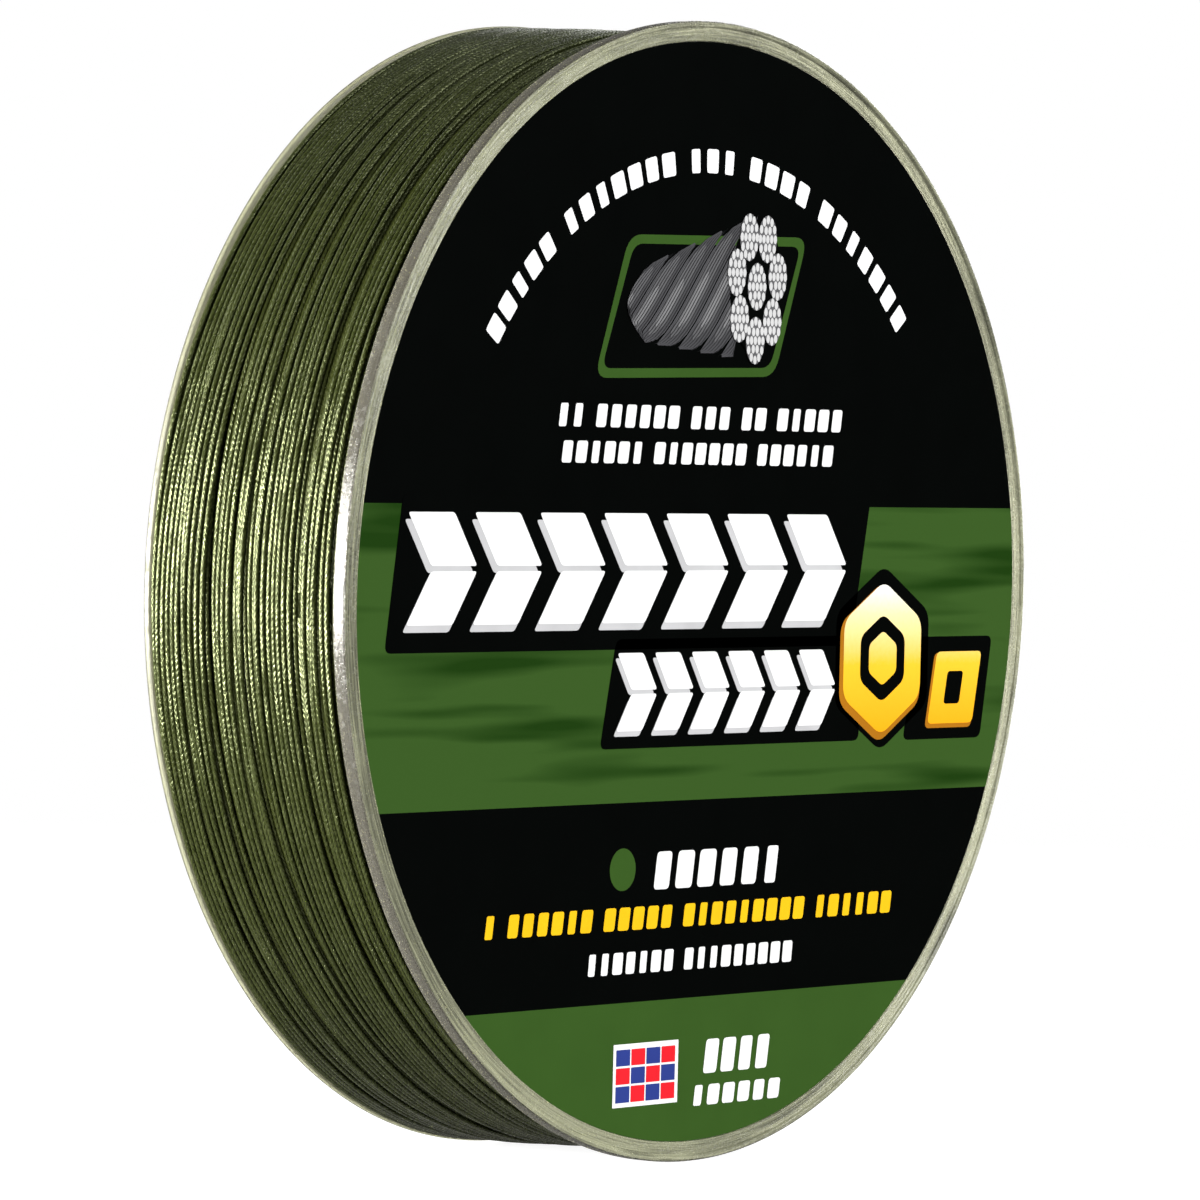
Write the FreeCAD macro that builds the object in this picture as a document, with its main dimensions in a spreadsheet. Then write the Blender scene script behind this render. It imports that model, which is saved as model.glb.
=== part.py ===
import FreeCAD, Part
import os

import Sketcher

# Fishing line spool, standing on the rims of its two flanges. Millimetres.
# The spool's axis is Y and +Z is up. The printed face looks along -Y, and the
# open hub well looks along +Y. The origin is the middle of the spool.

PARTS_FOLDER = "parts"
SHEET_NAME = "Sizes"

SIZES = {
    "flange_radius": 50.0,
    "spool_width": 22.0,
    "rim_thickness": 1.25,
    "rim_chamfer": 0.2,
    "lip_width": 1.75,
    "label_recess": 0.3,
    "label_thickness": 0.12,
    "label_clearance": 0.05,
    "drum_radius": 27.0,
    "drum_wall": 1.6,
    "collar_wall": 1.2,
    "collar_depth": 3.0,
    "bore_radius": 4.75,
    "sleeve_wall": 1.6,
    "rib_thickness": 1.2,
    "rib_gap": 1.0,
    "line_radius_front": 49.55,
    "line_radius_middle": 49.8,
    "line_radius_rear": 49.4,
    "crown_half_width": 5.0,
    "tape_thickness": 0.1,
    "start_tape_width": 11.0,
    "start_tape_angle": 40.0,
    "end_tape_width": 9.0,
    "end_tape_angle": 34.0,
}

# Sizes that follow from the ones above
WORKED_OUT = {
    "face_y": "spool_width / 2",
    "plate_y": "face_y - label_recess",
    "inner_y": "face_y - rim_thickness",
    "lip_radius": "flange_radius - lip_width",
    "label_radius": "lip_radius - label_clearance",
    "drum_inner_radius": "drum_radius - drum_wall",
    "collar_inner_radius": "drum_inner_radius - collar_wall",
    "sleeve_radius": "bore_radius + sleeve_wall",
    "rib_end_y": "inner_y - collar_depth - rib_gap",
}

RIB_COUNT = 4
FIRST_RIB_ANGLE = 45.0
START_TAPE_ANGLE = 90.0
END_TAPE_ANGLE = 0.0
NODES = [
    "front_flange",
    "rear_flange",
    "hub_drum",
    "hub_ribs",
    "arbor_sleeve",
    "wound_line",
    "line_start_tape",
    "line_end_tape",
    "front_label",
    "rear_label",
]


def make_sheet(doc):
    """The driving dimensions, each in a cell with an alias."""
    sheet = doc.addObject("Spreadsheet::Sheet", SHEET_NAME)
    row = 0
    for name, value in SIZES.items():
        row += 1
        sheet.set(f"A{row}", name)
        sheet.set(f"B{row}", str(value))
        sheet.setAlias(f"B{row}", name)
    for name, formula in WORKED_OUT.items():
        row += 1
        sheet.set(f"A{row}", name)
        sheet.set(f"B{row}", f"={formula}")
        sheet.setAlias(f"B{row}", name)
    doc.recompute()
    return sheet


def cell(name):
    """The expression text for one size in the sheet."""
    return f"{SHEET_NAME}.{name}"


def signed(side, name):
    """A size from the sheet, negative on the front side."""
    return f"{side} * {cell(name)}"


def body_named(doc, name):
    body = doc.addObject("PartDesign::Body", name)
    body.Label = name
    body.Placement = FreeCAD.Placement()
    return body


def origin_feature(body, role):
    for feature in body.Origin.OriginFeatures:
        if feature.Role == role:
            return feature
    raise ValueError(f"{body.Label} has no {role}")


def profile_sketch(body, name, points):
    """A closed outline in the XY plane: x is the radius and y runs along the axis.

    Each point is a pair of expressions, and lines join the points in order. Every
    corner is fixed by a pair of named distances that are bound to the sheet.
    """
    sketch = body.newObject("Sketcher::SketchObject", name)
    sketch.AttachmentSupport = [(origin_feature(body, "XY_Plane"), "")]
    sketch.MapMode = "FlatFace"
    places = [FreeCAD.Vector(value_of(body, x), value_of(body, y), 0) for x, y in points]
    count = len(places)
    for index in range(count):
        edge = Part.LineSegment(places[index], places[(index + 1) % count])
        sketch.addGeometry(edge, False)
    for index in range(count):
        following = (index + 1) % count
        sketch.addConstraint(Sketcher.Constraint("Coincident", index, 2, following, 1))
    for index, (x, y) in enumerate(points):
        bind_point(sketch, index, "DistanceX", places[index].x, x)
        bind_point(sketch, index, "DistanceY", places[index].y, y)
    return sketch


def bind_point(sketch, index, kind, value, expression):
    """Holds the start of one edge at a distance from the sketch's origin."""
    root_geometry = -1
    root_point = 1
    edge_start = 1
    constraint = Sketcher.Constraint(kind, root_geometry, root_point, index, edge_start, value)
    number = sketch.addConstraint(constraint)
    sketch.setExpression(f"Constraints[{number}]", expression)


def value_of(owner, expression):
    """The number that an expression of the sheet's sizes gives now."""
    result = owner.evalExpression(expression)
    return float(getattr(result, "Value", result))


def revolved(body, name, sketch, angle=360.0):
    """A full or part turn of a profile about the spool's axis."""
    turn = body.newObject("PartDesign::Revolution", name)
    turn.Profile = sketch
    turn.ReferenceAxis = (sketch, ["V_Axis"])
    turn.Angle = angle
    sketch.Visibility = False
    return turn


def make_flange(doc, name, side, hole):
    """A clear disc whose raised lip frames the label.

    side is -1 for the front and 1 for the rear. The outline runs from the hole
    along the inner face, up the rim with its two chamfers, over the lip and back
    along the floor of the label recess.
    """
    body = body_named(doc, name)
    rim_in = f"{side} * ({cell('inner_y')} + {cell('rim_chamfer')})"
    rim_out = f"{side} * ({cell('face_y')} - {cell('rim_chamfer')})"
    rim_less = f"{cell('flange_radius')} - {cell('rim_chamfer')}"
    outline = [
        (hole, signed(side, "inner_y")),
        (rim_less, signed(side, "inner_y")),
        (cell("flange_radius"), rim_in),
        (cell("flange_radius"), rim_out),
        (rim_less, signed(side, "face_y")),
        (cell("lip_radius"), signed(side, "face_y")),
        (cell("lip_radius"), signed(side, "plate_y")),
        (hole, signed(side, "plate_y")),
    ]
    sketch = profile_sketch(body, f"{name}_outline", outline)
    revolved(body, f"{name}_disc", sketch)
    return body


def add_collar(body, side):
    """The ring behind the rear flange that plugs into the drum."""
    collar_end = f"{side} * ({cell('inner_y')} - {cell('collar_depth')})"
    outline = [
        (cell("collar_inner_radius"), signed(side, "inner_y")),
        (cell("drum_inner_radius"), signed(side, "inner_y")),
        (cell("drum_inner_radius"), collar_end),
        (cell("collar_inner_radius"), collar_end),
    ]
    sketch = profile_sketch(body, "collar_outline", outline)
    revolved(body, "collar", sketch)


def make_tube(doc, name, radii, ends):
    """A plain tube on the spool's axis, given as its two radii and its two ends."""
    body = body_named(doc, name)
    inner, outer = radii
    low, high = ends
    outline = [(inner, low), (outer, low), (outer, high), (inner, high)]
    sketch = profile_sketch(body, f"{name}_outline", outline)
    revolved(body, f"{name}_tube", sketch)
    return body


def make_hub_ribs(doc):
    """Flat ribs between the sleeve and the drum, ending short of the rear collar."""
    blanks = []
    length = f"{cell('inner_y')} + {cell('rib_end_y')}"
    for index in range(RIB_COUNT):
        angle = FIRST_RIB_ANGLE + index * 360.0 / RIB_COUNT
        blank = doc.addObject("Part::Box", f"rib_blank_{index}")
        blank.setExpression("Length", cell("drum_radius"))
        blank.setExpression("Width", length)
        blank.setExpression("Height", cell("rib_thickness"))
        turn = FreeCAD.Rotation(FreeCAD.Vector(0, 1, 0), -angle)
        corner = FreeCAD.Vector(0, -value_of(blank, cell("inner_y")), 0)
        shift = FreeCAD.Vector(0, 0, -value_of(blank, cell("rib_thickness")) / 2)
        blank.Placement = FreeCAD.Placement(corner + turn.multVec(shift), turn)
        blanks.append(blank)
    blank_group = doc.addObject("Part::Compound", "rib_blanks")
    blank_group.Links = blanks
    outer = axis_cylinder(doc, "rib_outer_limit", "drum_inner_radius", length)
    inner = axis_cylinder(doc, "rib_inner_limit", "sleeve_radius", length)
    hub_space = doc.addObject("Part::Cut", "rib_space")
    hub_space.Base = outer
    hub_space.Tool = inner
    ribs = doc.addObject("Part::Common", "hub_ribs")
    ribs.Base = blank_group
    ribs.Tool = hub_space
    ribs.Label = "hub_ribs"
    return ribs


def axis_cylinder(doc, name, radius, length):
    """A cylinder along +Y that starts at the front flange's inner face."""
    cylinder = doc.addObject("Part::Cylinder", name)
    cylinder.setExpression("Radius", cell(radius))
    cylinder.setExpression("Height", length)
    start = FreeCAD.Vector(0, -value_of(cylinder, cell("inner_y")), 0)
    along_y = FreeCAD.Rotation(FreeCAD.Vector(1, 0, 0), -90)
    cylinder.Placement = FreeCAD.Placement(start, along_y)
    return cylinder


def make_wound_line(doc):
    """The whole winding as one ring with a slightly crowned outside.

    A shallow pocket in its bore leaves room for the tape that holds the first turn.
    """
    body = body_named(doc, "wound_line")
    outline = [
        (cell("drum_radius"), f"-{cell('inner_y')}"),
        (cell("line_radius_front"), f"-{cell('inner_y')}"),
        (cell("line_radius_middle"), f"-{cell('crown_half_width')}"),
        (cell("line_radius_middle"), cell("crown_half_width")),
        (cell("line_radius_rear"), cell("inner_y")),
        (cell("drum_radius"), cell("inner_y")),
    ]
    sketch = profile_sketch(body, "winding_outline", outline)
    revolved(body, "winding", sketch)
    doc.recompute()
    full_volume = body.Shape.Volume
    pocket = body.newObject("PartDesign::Groove", "start_tape_pocket")
    pocket.Profile = tape_outline(body, "pocket_outline", "drum_radius", "start_tape_width")
    pocket.ReferenceAxis = (pocket.Profile[0], ["V_Axis"])
    pocket.setExpression("Angle", cell("start_tape_angle"))
    pocket.Midplane = True
    doc.recompute()
    if body.Shape.Volume >= full_volume:
        raise ValueError("the pocket for the start tape cuts nothing")
    body.Placement = turned_about_axis(START_TAPE_ANGLE)
    return body


def tape_outline(body, name, radius, width):
    """The cross-section of a tape that lies on a round surface of one radius."""
    half_width = f"{cell(width)} / 2"
    tape_top = f"{cell(radius)} + {cell('tape_thickness')}"
    outline = [
        (cell(radius), f"-{half_width}"),
        (tape_top, f"-{half_width}"),
        (tape_top, half_width),
        (cell(radius), half_width),
    ]
    return profile_sketch(body, name, outline)


def turned_about_axis(angle):
    """A turn about the spool's axis, from +X towards +Z."""
    return FreeCAD.Placement(FreeCAD.Vector(), FreeCAD.Rotation(FreeCAD.Vector(0, 1, 0), -angle))


def make_tape(doc, name, radius, width, span, angle):
    """A strip of tape, curved round the axis and centred on one angle."""
    body = body_named(doc, name)
    sketch = tape_outline(body, f"{name}_outline", radius, width)
    strip = revolved(body, f"{name}_strip", sketch)
    strip.setExpression("Angle", cell(span))
    strip.Midplane = True
    body.Placement = turned_about_axis(angle)
    return body


def make_label(doc, name, side, hole=None):
    """A thin printed sticker on the floor of a flange's recess."""
    body = body_named(doc, name)
    label_top = f"{side} * ({cell('plate_y')} + {cell('label_thickness')})"
    inner = hole if hole else "0"
    outline = [
        (inner, signed(side, "plate_y")),
        (cell("label_radius"), signed(side, "plate_y")),
        (cell("label_radius"), label_top),
        (inner, label_top),
    ]
    sketch = profile_sketch(body, f"{name}_outline", outline)
    revolved(body, f"{name}_disc", sketch)
    return body


def make_spool(doc):
    front, rear = -1, 1
    make_flange(doc, "front_flange", front, cell("sleeve_radius"))
    rear_flange = make_flange(doc, "rear_flange", rear, cell("collar_inner_radius"))
    add_collar(rear_flange, rear)
    drum_radii = (cell("drum_inner_radius"), cell("drum_radius"))
    make_tube(doc, "hub_drum", drum_radii, (f"-{cell('inner_y')}", cell("inner_y")))
    make_hub_ribs(doc)
    sleeve_radii = (cell("bore_radius"), cell("sleeve_radius"))
    make_tube(doc, "arbor_sleeve", sleeve_radii, (f"-{cell('plate_y')}", cell("plate_y")))
    make_wound_line(doc)
    make_tape(
        doc, "line_start_tape", "drum_radius", "start_tape_width", "start_tape_angle", START_TAPE_ANGLE
    )
    make_tape(
        doc, "line_end_tape", "line_radius_middle", "end_tape_width", "end_tape_angle", END_TAPE_ANGLE
    )
    make_label(doc, "front_label", front)
    make_label(doc, "rear_label", rear, cell("drum_radius"))


def check_document(doc):
    """Stops on any failed feature and on any sub-part without a sound shape."""
    for item in doc.Objects:
        if "Invalid" in item.State or "Error" in item.State:
            raise ValueError(f"{item.Label} failed: {item.State}")
    for name in NODES:
        shape = sub_part(doc, name).Shape
        if shape.isNull() or not shape.isValid() or not shape.Solids:
            raise ValueError(f"{name} has no valid solid")


def sub_part(doc, name):
    found = doc.getObjectsByLabel(name)
    if len(found) != 1:
        raise ValueError(f"{len(found)} objects are called {name}")
    return found[0]


def write_parts(doc):
    os.makedirs(PARTS_FOLDER, exist_ok=True)
    for name in NODES:
        shape = sub_part(doc, name).Shape
        shape.exportStep(os.path.join(PARTS_FOLDER, f"{name}.step"))
        box = shape.BoundBox
        print(
            f"{name}: {len(shape.Solids)} solids, {shape.Volume:.1f} mm3, "
            f"x {box.XMin:.2f} {box.XMax:.2f}, y {box.YMin:.2f} {box.YMax:.2f}, "
            f"z {box.ZMin:.2f} {box.ZMax:.2f}"
        )


def main():
    doc = FreeCAD.newDocument("fishing_line_spool")
    make_sheet(doc)
    make_spool(doc)
    doc.recompute()
    check_document(doc)
    write_parts(doc)


main()
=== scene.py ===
import math
import random

import bpy
import numpy as np
from mathutils import Matrix, Vector


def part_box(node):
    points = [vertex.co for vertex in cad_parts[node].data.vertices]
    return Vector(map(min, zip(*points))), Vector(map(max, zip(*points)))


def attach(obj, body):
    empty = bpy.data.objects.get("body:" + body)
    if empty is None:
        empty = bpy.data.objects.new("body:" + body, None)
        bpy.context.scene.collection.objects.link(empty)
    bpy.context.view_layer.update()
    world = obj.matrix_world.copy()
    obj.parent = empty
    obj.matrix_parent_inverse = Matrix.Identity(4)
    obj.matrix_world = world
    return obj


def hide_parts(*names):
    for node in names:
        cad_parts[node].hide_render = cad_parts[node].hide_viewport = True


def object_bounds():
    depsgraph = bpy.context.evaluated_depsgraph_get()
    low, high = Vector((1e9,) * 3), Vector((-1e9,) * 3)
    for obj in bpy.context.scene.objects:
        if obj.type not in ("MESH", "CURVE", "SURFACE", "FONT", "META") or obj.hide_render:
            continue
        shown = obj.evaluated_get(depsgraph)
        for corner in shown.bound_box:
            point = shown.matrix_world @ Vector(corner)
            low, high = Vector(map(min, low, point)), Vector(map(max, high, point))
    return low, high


# A fishing line spool: clear moulded flanges, a winding of braided line and printed labels.
# Lengths in the code are in millimetres in the frame's axes and become metres in the meshes.

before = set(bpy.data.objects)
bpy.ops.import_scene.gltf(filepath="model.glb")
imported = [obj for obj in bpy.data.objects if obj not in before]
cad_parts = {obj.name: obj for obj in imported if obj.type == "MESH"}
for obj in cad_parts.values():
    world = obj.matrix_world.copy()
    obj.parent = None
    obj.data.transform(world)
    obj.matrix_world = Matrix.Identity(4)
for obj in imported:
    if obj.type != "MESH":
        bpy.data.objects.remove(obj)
CAD_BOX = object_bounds()

MM = 0.001
TURN = 2 * math.pi
FRONT, REAR = -1, 1


def box_mm(node):
    """The low and high corners of a CAD node's box, in millimetres."""
    low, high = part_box(node)
    return [value / MM for value in low], [value / MM for value in high]


# ---- Sizes taken from the frame ----

FLANGE_LOW, FLANGE_HIGH = box_mm("front_flange")
FLANGE_RADIUS = FLANGE_HIGH[0]
FACE = -FLANGE_LOW[1]
INNER = -FLANGE_HIGH[1]
LABEL_LOW, LABEL_HIGH = box_mm("front_label")
LABEL_RADIUS = LABEL_HIGH[0]
LABEL_TOP = -LABEL_LOW[1]
LABEL_BACK = -LABEL_HIGH[1]
DRUM_RADIUS = box_mm("hub_drum")[1][0]
SLEEVE_RADIUS = box_mm("arbor_sleeve")[1][0]
WINDING_RADIUS = box_mm("wound_line")[1][0]
TAPE_LOW, TAPE_HIGH = box_mm("line_end_tape")

# ---- Sizes of the looks ----

# Flanges
COLLAR_INNER = 24.2
COLLAR_OUTER = 25.4
COLLAR_DEPTH = 3.0
LIP_WIDTH = 1.75
BEAD_WIDTH = 0.45
GROOVE_WIDTH = 0.15
GROOVE_DEPTH = 0.24
LIP_DROP = 0.03
REAR_RIM_RADIUS = 49.82
REAR_RIM_THICKNESS = 0.65
REAR_INNER = FACE - REAR_RIM_THICKNESS

# Line and winding. A strand moves over by its own width in each PICK along the line, and
# each turn runs level for LEVEL_PART of its way round.
LINE_HALF_WIDTH = 0.24
LINE_HALF_HEIGHT = 0.21
LAYER_STEP = 0.32
TURNS = 27
PICK = 0.52
LEVEL_PART = 0.5
TOUCHING = 1.9 * LINE_HALF_WIDTH
END_GAP = 0.02
STRANDS_EACH_WAY = 4.0
OVER_AND_UNDER = 4.0

# Print. The block widths are parts of one letter's space.
INK_STEP = 0.018
INK_THICKNESS = 0.014
BLOCK_WIDTHS = (0.5, 0.68, 0.76, 0.76)
WORD_GAP = 0.6
WORD_SLANT = 0.15
BADGE_SLANT = 0.2
BAND_LINES = [7.6, -18.2, -35.6]
BADGE = (27.4, -6.1)
ROPE_LEAN = 0.62
ROPE_LAYS = 8
ROPE_END = 0.97

# Heights of the bumps in the materials, in metres
BRAID_RELIEF = 0.00003
PLASTIC_RELIEF = 0.00006
TAPE_RELIEF = 0.00002
PAPER_RELIEF = 0.000008

# Finishes
LABEL_GREEN = (0.037, 0.090, 0.0155)
LIP_LIGHT = (0.51, 0.52, 0.34)
LIP_DARK = tuple(channel * 0.34 for channel in LIP_LIGHT)
TRANSMISSION = 0.93
INK_ROUGHNESS = 0.42
INK_SPECULAR = 0.008

# Camera, in degrees, metres and, for the lens, millimetres
VIEW_AZIMUTH = -52.72
VIEW_ELEVATION = 1.42
VIEW_ROLL = 1.37
VIEW_DISTANCE = 0.642
VIEW_ASIDE = (-0.0005, -0.00105)
LENS = 217.2
SENSOR = 36.0


# ---- Mesh building ----

def link(name, data):
    """A new object in the scene that shows a mesh, a light or a camera."""
    made = bpy.data.objects.new(name, data)
    bpy.context.scene.collection.objects.link(made)
    return made


def facing_out(points, faces):
    """The faces of a closed mesh, turned over if they face inwards."""
    points = np.asarray(points)
    volume = 0.0
    for face in faces:
        first = points[face[0]]
        for second, third in zip(face[1:], face[2:]):
            volume += np.dot(first, np.cross(points[second], points[third]))
    if volume < 0:
        return [tuple(reversed(face)) for face in faces]
    return faces


def grid_faces(rows, columns, close_rows=False, close_columns=False):
    """Quads of a grid of points stored row by row."""
    row = np.arange(rows if close_rows else rows - 1)
    column = np.arange(columns if close_columns else columns - 1)
    row, column = np.meshgrid(row, column, indexing="ij")
    next_row = (row + 1) % rows
    next_column = (column + 1) % columns
    corners = [
        row * columns + column,
        row * columns + next_column,
        next_row * columns + next_column,
        next_row * columns + column,
    ]
    return np.stack(corners, axis=-1).reshape(-1, 4)


def quads_facing_out(points, quads):
    """The same for a large array of quads, worked out in one go."""
    a, b, c, d = (points[quads[:, corner]] for corner in range(4))
    volume = np.einsum("ij,ij->i", a, np.cross(b, c)).sum()
    volume += np.einsum("ij,ij->i", a, np.cross(c, d)).sum()
    return quads[:, ::-1] if volume < 0 else quads


def prism_faces(start, count):
    """The ends and sides of a prism whose two outlines are stored one after the other."""
    near = tuple(range(start, start + count))
    far = tuple(range(start + 2 * count - 1, start + count - 1, -1))
    sides = []
    for index in range(count):
        here, following = start + index, start + (index + 1) % count
        sides.append((following, here, here + count, following + count))
    return [near, far, *sides]


def mesh_from(name, points, faces, smooth=True):
    """A mesh from points in millimetres."""
    mesh = bpy.data.meshes.new(name)
    mesh.from_pydata((np.asarray(points) * MM).tolist(), [], [tuple(face) for face in faces])
    mesh.polygons.foreach_set("use_smooth", [smooth] * len(mesh.polygons))
    mesh.update()
    return mesh


def rounded(points, radius, steps=4):
    """A closed outline with each corner rounded. radius is one number or one for each corner."""
    radii = radius if isinstance(radius, (list, tuple)) else [radius] * len(points)
    outline = []
    for index, corner in enumerate(points):
        corner = Vector(corner)
        before = Vector(points[index - 1]) - corner
        after = Vector(points[(index + 1) % len(points)]) - corner
        reach = min(radii[index], before.length * 0.45, after.length * 0.45)
        if reach <= 0:
            outline.append(tuple(corner))
            continue
        start = corner + before.normalized() * reach
        end = corner + after.normalized() * reach
        for step in range(steps + 1):
            part = step / steps
            place = start * (1 - part) ** 2 + corner * 2 * part * (1 - part) + end * part**2
            outline.append(tuple(place))
    return outline


def without_doubles(outline, gap):
    """A closed outline without the points that lie closer than gap to the one before."""
    return [point for index, point in enumerate(outline) if math.dist(point, outline[index - 1]) > gap]


def places_round(number, radius, first=0.0):
    """Places spaced evenly round a circle, from an angle in radians."""
    angles = [TURN * step / number + first for step in range(number)]
    return [(radius * math.cos(angle), radius * math.sin(angle)) for angle in angles]


def points_round(angle, radius, along):
    """Points about the spool's axis: a row of radii and places along it for each angle."""
    x, z = np.cos(angle)[:, None] * radius, np.sin(angle)[:, None] * radius
    return np.stack([x, np.broadcast_to(along, x.shape), z], axis=-1).reshape(-1, 3)


def lathe(name, outline, material, segments=360, smooth_angle=35.0):
    """A closed outline of (radius, y) points turned about the spool's axis."""
    outline = np.array(outline)
    angle = np.arange(segments) * TURN / segments
    points = points_round(angle, outline[:, 0], outline[:, 1])
    quads = grid_faces(segments, len(outline), True, True)
    mesh = mesh_from(name, points, quads_facing_out(points, quads))
    mesh.set_sharp_from_angle(angle=math.radians(smooth_angle))
    mesh.materials.append(material)
    return link(name, mesh)


# ---- Material nodes ----

def new_material(name):
    material = bpy.data.materials.new(name)
    material.use_nodes = True
    return material, material.node_tree, material.node_tree.nodes["Principled BSDF"]


def add_node(tree, kind, **settings):
    node = tree.nodes.new(kind)
    for key, value in settings.items():
        setattr(node, key, value)
    return node


def math_node(tree, operation, *inputs, clamp=False):
    node = add_node(tree, "ShaderNodeMath", operation=operation, use_clamp=clamp)
    for socket, value in zip(node.inputs, inputs):
        if isinstance(value, bpy.types.NodeSocket):
            tree.links.new(value, socket)
        else:
            socket.default_value = value
    return node.outputs[0]


def object_noise(tree, scale, detail=3.0, roughness=0.5, stretch=(1, 1, 1)):
    """Noise fixed to the object, from 0 to 1."""
    place = add_node(tree, "ShaderNodeTexCoord")
    mapping = add_node(tree, "ShaderNodeMapping")
    mapping.inputs["Scale"].default_value = stretch
    noise = add_node(tree, "ShaderNodeTexNoise")
    noise.inputs["Scale"].default_value = scale
    noise.inputs["Detail"].default_value = detail
    noise.inputs["Roughness"].default_value = roughness
    tree.links.new(place.outputs["Object"], mapping.inputs["Vector"])
    tree.links.new(mapping.outputs["Vector"], noise.inputs["Vector"])
    return noise.outputs["Fac"]


def ramp(tree, factor, stops):
    """A colour ramp. stops is a list of (position, colour)."""
    node = add_node(tree, "ShaderNodeValToRGB")
    elements = node.color_ramp.elements
    while len(elements) < len(stops):
        elements.new(0.5)
    for element, (position, colour) in zip(elements, stops):
        element.position = position
        element.color = (*colour, 1.0)
    tree.links.new(factor, node.inputs["Fac"])
    return node.outputs["Color"]


def mix_colour(tree, factor, first, second):
    """A blend of two colours, each a socket or a plain colour."""
    node = add_node(tree, "ShaderNodeMix", data_type="RGBA")
    for socket, value in zip((node.inputs[0], node.inputs[6], node.inputs[7]), (factor, first, second)):
        if isinstance(value, bpy.types.NodeSocket):
            tree.links.new(value, socket)
        elif isinstance(value, (int, float)):
            socket.default_value = value
        else:
            socket.default_value = (*value, 1.0)
    return node.outputs[2]


def map_range(tree, value, low, high, to_low, to_high):
    node = add_node(tree, "ShaderNodeMapRange")
    for socket, number in zip(node.inputs[1:5], (low, high, to_low, to_high)):
        socket.default_value = number
    tree.links.new(value, node.inputs[0])
    return node.outputs[0]


def bump(tree, shader, height, distance, strength=1.0):
    node = add_node(tree, "ShaderNodeBump")
    node.inputs["Strength"].default_value = strength
    node.inputs["Distance"].default_value = distance
    tree.links.new(height, node.inputs["Height"])
    tree.links.new(node.outputs["Normal"], shader.inputs["Normal"])


# ---- Materials ----

def object_place(tree):
    """Object coordinates x, y and z as sockets."""
    place = add_node(tree, "ShaderNodeTexCoord")
    split = add_node(tree, "ShaderNodeSeparateXYZ")
    tree.links.new(place.outputs["Object"], split.inputs["Vector"])
    return tuple(split.outputs)


def place_parts(tree):
    """Object coordinates as sockets: x, y, z and the distance from the spool's axis."""
    x, y, z = object_place(tree)
    squares = math_node(tree, "ADD", math_node(tree, "MULTIPLY", x, x), math_node(tree, "MULTIPLY", z, z))
    return x, y, z, math_node(tree, "SQRT", squares)


def noise_from(tree, parts, detail):
    """Noise on three sockets, from 0 to 1."""
    joined = add_node(tree, "ShaderNodeCombineXYZ")
    for part, socket in zip(parts, joined.inputs):
        tree.links.new(part, socket)
    noise = add_node(tree, "ShaderNodeTexNoise")
    noise.inputs["Scale"].default_value = 1.0
    noise.inputs["Detail"].default_value = detail
    tree.links.new(joined.outputs["Vector"], noise.inputs["Vector"])
    return noise.outputs["Fac"]


def turned_noise(tree, across, around, detail=3.0):
    """Noise drawn out into streaks that run round the spool's axis."""
    x, y, z, radius = place_parts(tree)
    per_turn = math_node(tree, "DIVIDE", around, radius)
    lift = math_node(tree, "MULTIPLY", math_node(tree, "ADD", radius, y), across)
    parts = (math_node(tree, "MULTIPLY", x, per_turn), math_node(tree, "MULTIPLY", z, per_turn), lift)
    return noise_from(tree, parts, detail)


def face_frost(tree):
    """1 on the front lip, where light gathers in the plastic, and 0 elsewhere."""
    _, y, _, radius = place_parts(tree)
    near = map_range(tree, y, -(FACE - 0.34) * MM, -(FACE - 0.26) * MM, 0.0, 1.0)
    inside = map_range(tree, radius, (FLANGE_RADIUS - 0.12) * MM, (FLANGE_RADIUS - 0.04) * MM, 1.0, 0.0)
    return math_node(tree, "MULTIPLY", near, inside)


def clear_plastic(name, light, dark, roughness):
    """Clear moulded plastic with a warm tint, streaks round the axis and fine scuffs."""
    material, tree, shader = new_material(name)
    streaks = turned_noise(tree, 5200.0, 7.0)
    broad = turned_noise(tree, 60.0, 1.3, detail=1.0)
    scuffs = object_noise(tree, 1600.0, detail=5.0, roughness=0.7)
    tint = ramp(tree, streaks, [(0.38, dark), (0.62, light)])
    mixed = math_node(tree, "MULTIPLY_ADD", math_node(tree, "ADD", broad, -0.5), 1.1, streaks)
    face_tint = ramp(tree, mixed, [(0.3, LIP_DARK), (0.62, LIP_LIGHT)])
    frost = face_frost(tree)
    tree.links.new(mix_colour(tree, frost, tint, face_tint), shader.inputs["Base Color"])
    scuffed = map_range(tree, scuffs, 0.5, 0.68, 0.0, 0.34)
    rough = math_node(tree, "ADD", scuffed, map_range(tree, streaks, 0.3, 0.7, roughness + 0.08, roughness))
    tree.links.new(rough, shader.inputs["Roughness"])
    clear = map_range(tree, frost, 0.0, 1.0, TRANSMISSION, TRANSMISSION * 0.4)
    tree.links.new(clear, shader.inputs["Transmission Weight"])
    grooved = map_range(tree, frost, 0.0, 1.0, 1.0, 5.0)
    bump(tree, shader, math_node(tree, "MULTIPLY_ADD", streaks, grooved, scuffs), PLASTIC_RELIEF, 0.7)
    shader.inputs["IOR"].default_value = 1.5
    return material


def braid_place(tree):
    """Millimetres along the line and turns round it, as sockets."""
    coordinates = add_node(tree, "ShaderNodeUVMap", uv_map="braid")
    split = add_node(tree, "ShaderNodeSeparateXYZ")
    tree.links.new(coordinates.outputs["UV"], split.inputs["Vector"])
    return split.outputs["X"], split.outputs["Y"]


def braid_phases(tree):
    """The two families of strands that spiral round the line, each counted in strands."""
    along, around = braid_place(tree)
    strands = math_node(tree, "MULTIPLY", around, STRANDS_EACH_WAY)
    advance = math_node(tree, "DIVIDE", along, PICK)
    return math_node(tree, "ADD", strands, advance), math_node(tree, "SUBTRACT", strands, advance)


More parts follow.
